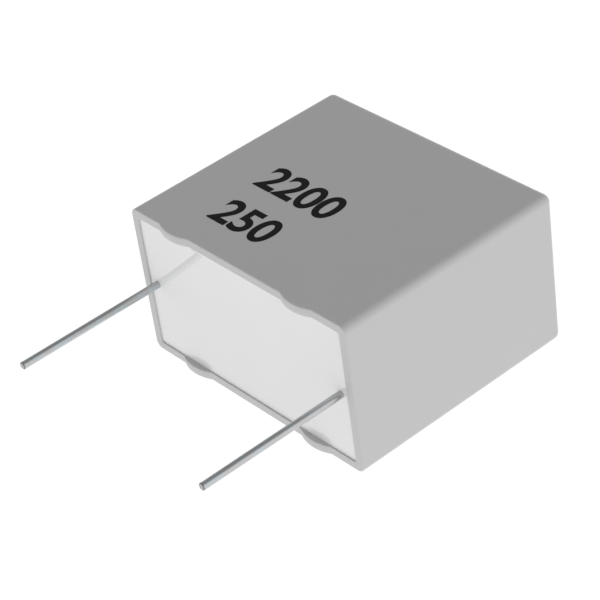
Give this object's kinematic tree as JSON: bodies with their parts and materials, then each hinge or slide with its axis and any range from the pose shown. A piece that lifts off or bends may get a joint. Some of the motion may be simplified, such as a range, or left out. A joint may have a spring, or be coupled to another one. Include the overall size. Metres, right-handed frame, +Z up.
{
  "type": "box film capacitor",
  "caption": "Rectangular moulded case open on one narrow side, filled with cast resin that seals a flattened film winding, with straight round wire leads.",
  "frame": {"origin": "centre of the large outer side that the capacitor lies on", "axes": "+X from the left lead to the right lead, -Y the way the leads point, +Z up through the case's thickness"},
  "size_m": [0.0316, 0.0445, 0.0175],
  "materials": {
    "case_plastic": "satin moulded light grey flame-retardant polyester",
    "cast_epoxy": "glossy cast white epoxy",
    "polyester_film": "aluminium-metallised film, wound and pressed",
    "clear_film": "plain film, smooth",
    "sprayed_zinc": "rough sprayed zinc",
    "tinned_copper": "bright tinned drawn wire",
    "solder": "dull solidified solder",
    "printing_ink": "matte black pad-printed ink, a thin film on the case's upper large side"
  },
  "bodies": {
    "root": {"case": "case_plastic", "resin_fill": "cast_epoxy", "film_winding": "polyester_film", "outer_wrap": "clear_film", "contact_layer_left": "sprayed_zinc", "contact_layer_right": "sprayed_zinc", "lead_left": "tinned_copper", "lead_right": "tinned_copper", "solder_joint_left": "solder", "solder_joint_right": "solder"}
  },
  "joints": []
}
